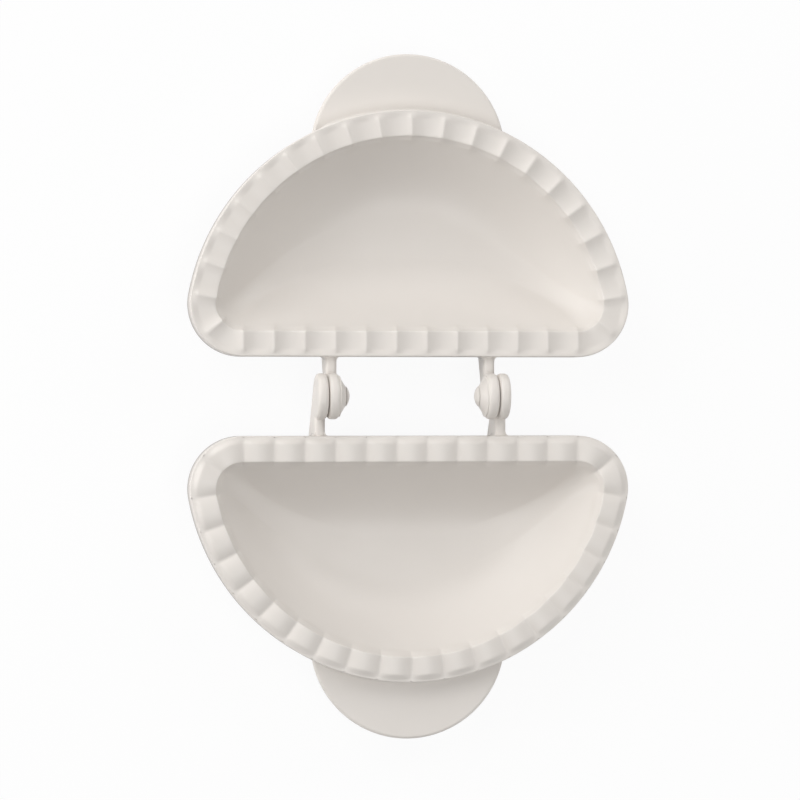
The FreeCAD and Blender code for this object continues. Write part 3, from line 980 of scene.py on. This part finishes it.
def floor_material():
    """Make the floor's material, white to the camera but for a trace of shadow."""
    look = settings().stage
    material = bpy.data.materials.new("floor")
    tree = empty_tree(material)
    matt = tree.add("ShaderNodeBsdfDiffuse", None, {"Color": (*look.floor, 1)}).field()
    white = tree.add("ShaderNodeEmission", None, {"Color": (1, 1, 1, 1), "Strength": 1.0}).field()
    share = seen_by_camera(tree) * look.floor_white
    mixed = tree.add("ShaderNodeMixShader", None, {0: share, 1: matt, 2: white})
    tree.add("ShaderNodeOutputMaterial", None, {"Surface": mixed.field()})
    return material


# Lamps: the name of each lamp's power, its height above the table and its bearing from +Y
# towards -X, in degrees
LAMPS = (
    ("key", 30, 45),
    ("key_high", 50, 45),
    ("overhead", 75, 190),
    ("left", 12, 90),
    ("back", 12, 0),
    ("back_right", 30, 315),
    ("front", 12, 225),
)


def add_lamp(name, height, bearing):
    """Add a round lamp that faces the press."""
    look = settings().stage
    level = Vector((-math.sin(bearing), math.cos(bearing), 0))
    towards = level * math.cos(height) + Vector((0, 0, math.sin(height)))
    lamp = bpy.data.lights.new(name, "AREA")
    lamp.shape = "DISK"
    lamp.size = look.lamp_size
    lamp.energy = getattr(look, name)
    holder = bpy.data.objects.new(name + " lamp", lamp)
    holder.location = towards * look.lamp_distance
    holder.rotation_euler = towards.to_track_quat("Z", "Y").to_euler()
    bpy.context.scene.collection.objects.link(holder)


# Operators


class PRESS_OT_lower_moulding(bpy.types.Operator):
    """Build the half with the pillows and the outer hinge arms."""

    bl_idname = "press.lower_moulding"
    bl_label = "Lower moulding"

    def execute(self, context):
        hinge = settings().hinge
        builder = Builder()
        add_shell(builder)
        add_handle(builder)
        ear_start = hinge.blade_start + hinge.blade + hinge.play
        add_arms(builder, ear_start, hinge.ear, hinge.ear_depth)
        thing = builder.finish("lower_moulding", turned=True)
        raise_crimp(thing, crimp_tree(plastic()), hollow=False)
        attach(thing, "lower")
        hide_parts("lower_half")
        return {"FINISHED"}


class PRESS_OT_upper_moulding(bpy.types.Operator):
    """Build the half with the flutes and the inner hinge arms."""

    bl_idname = "press.upper_moulding"
    bl_label = "Upper moulding"

    def execute(self, context):
        hinge = settings().hinge
        builder = Builder()
        add_shell(builder, raised=True)
        add_handle(builder)
        add_arms(builder, hinge.blade_start, hinge.blade, hinge.blade_depth)
        add_hubs(builder)
        thing = builder.finish("upper_moulding")
        raise_crimp(thing, crimp_tree(plastic()), hollow=True)
        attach(thing, "upper")
        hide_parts("upper_half")
        return {"FINISHED"}


# Faces along a pin's dome and round a pin, and the bevel at its end
DOME_STEPS = 12
PIN_STEPS = 48
PIN_BEVEL = 0.3 * MM


class PRESS_OT_pins(bpy.types.Operator):
    """Build the two hinge pins with their domed heads."""

    bl_idname = "press.pins"
    bl_label = "Hinge pins"

    def execute(self, context):
        hinge = settings().hinge
        back = hinge.blade_start - hinge.hub_height - hinge.head_play
        end = hinge.blade_start + hinge.blade + hinge.play + hinge.pin_seat
        front = back - hinge.head_height
        dome = (hinge.head ** 2 + hinge.head_height ** 2) / (2 * hinge.head_height)
        profile = []
        for step in range(DOME_STEPS):
            turn = math.asin(hinge.head / dome) * (step + 1) / DOME_STEPS
            profile.append((front + dome * (1 - math.cos(turn)), dome * math.sin(turn)))
        profile += [(back, hinge.pin), (end - PIN_BEVEL, hinge.pin), (end, hinge.pin - PIN_BEVEL)]
        for name, sign in (("pin_right", 1), ("pin_left", -1)):
            builder = Builder()
            rings = []
            for along, radius in profile:
                ring = []
                for turn in spread(0, 2 * math.pi, PIN_STEPS):
                    y, z = radius * math.cos(turn), radius * math.sin(turn)
                    ring.append((sign * along, y, HINGE_HEIGHT + z))
                rings.append(ring)
            builder.tube(rings)
            thing = builder.finish(name)
            thing.data.materials.append(plastic())
            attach(thing, "lower")
            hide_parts("hinge_" + name)
        return {"FINISHED"}


# Half the floor's side, in metres, and the width of the camera's sensor, in millimetres
FLOOR_REACH = 2.0
SENSOR_WIDTH = 36


class PRESS_OT_stage(bpy.types.Operator):
    """Set up the floor, the lights and the camera."""

    bl_idname = "press.stage"
    bl_label = "Stage"

    def execute(self, context):
        look = settings().stage
        scene = context.scene
        scene.view_settings.view_transform = "Standard"

        mesh = bpy.data.meshes.new("floor")
        signs = ((-1, -1), (1, -1), (1, 1), (-1, 1))
        points = [(x * FLOOR_REACH, y * FLOOR_REACH, TABLE) for x, y in signs]
        mesh.from_pydata(points, [], [(0, 1, 2, 3)])
        floor = bpy.data.objects.new("floor", mesh)
        scene.collection.objects.link(floor)
        mesh.materials.append(floor_material())

        world = bpy.data.worlds.new("studio")
        tree = empty_tree(world)
        strength = look.sky + seen_by_camera(tree) * (1 - look.sky)
        inputs = {"Color": (1, 1, 1, 1), "Strength": strength}
        sky = tree.add("ShaderNodeBackground", None, inputs)
        tree.add("ShaderNodeOutputWorld", None, {"Surface": sky.field()})
        scene.world = world

        for name, height, bearing in LAMPS:
            add_lamp(name, math.radians(height), math.radians(bearing))

        lean = math.radians(look.camera_tilt)
        aim = Vector((look.aim_x, look.aim_y, HINGE_HEIGHT))
        right = Vector((math.cos(lean), 0, math.sin(lean)))
        upward = Vector((0, 1, 0))
        back = right.cross(upward)
        camera = bpy.data.objects.new("camera", bpy.data.cameras.new("camera"))
        camera.data.lens = look.lens
        camera.data.sensor_width = SENSOR_WIDTH
        turned = Matrix((right, upward, back)).transposed().to_4x4()
        camera.matrix_world = Matrix.Translation(aim + back * look.camera_distance) @ turned
        scene.collection.objects.link(camera)
        scene.camera = camera
        return {"FINISHED"}


OPERATORS = (
    PRESS_OT_stage,
    PRESS_OT_lower_moulding,
    PRESS_OT_upper_moulding,
    PRESS_OT_pins,
)


class PRESS_PT_panel(bpy.types.Panel):
    """Lists the steps that build the press."""

    bl_idname = "PRESS_PT_panel"
    bl_label = "Press"
    bl_space_type = "VIEW_3D"
    bl_region_type = "UI"
    bl_category = "Press"

    def draw(self, context):
        for operator in OPERATORS:
            self.layout.operator(operator.bl_idname)


CLASSES = (*GROUPS.values(), PressSettings, *OPERATORS, PRESS_PT_panel)


def register():
    """Register the classes and attach the settings to the scene."""
    for item in CLASSES:
        bpy.utils.register_class(item)
    bpy.types.Scene.press = bpy.props.PointerProperty(type=PressSettings)


def unregister():
    """Undo register."""
    del bpy.types.Scene.press
    for item in reversed(CLASSES):
        bpy.utils.unregister_class(item)


def main():
    """Build the press and the stage."""
    register()
    bpy.ops.press.stage()
    bpy.ops.press.lower_moulding()
    bpy.ops.press.upper_moulding()
    bpy.ops.press.pins()


if __name__ == "__main__":
    main()
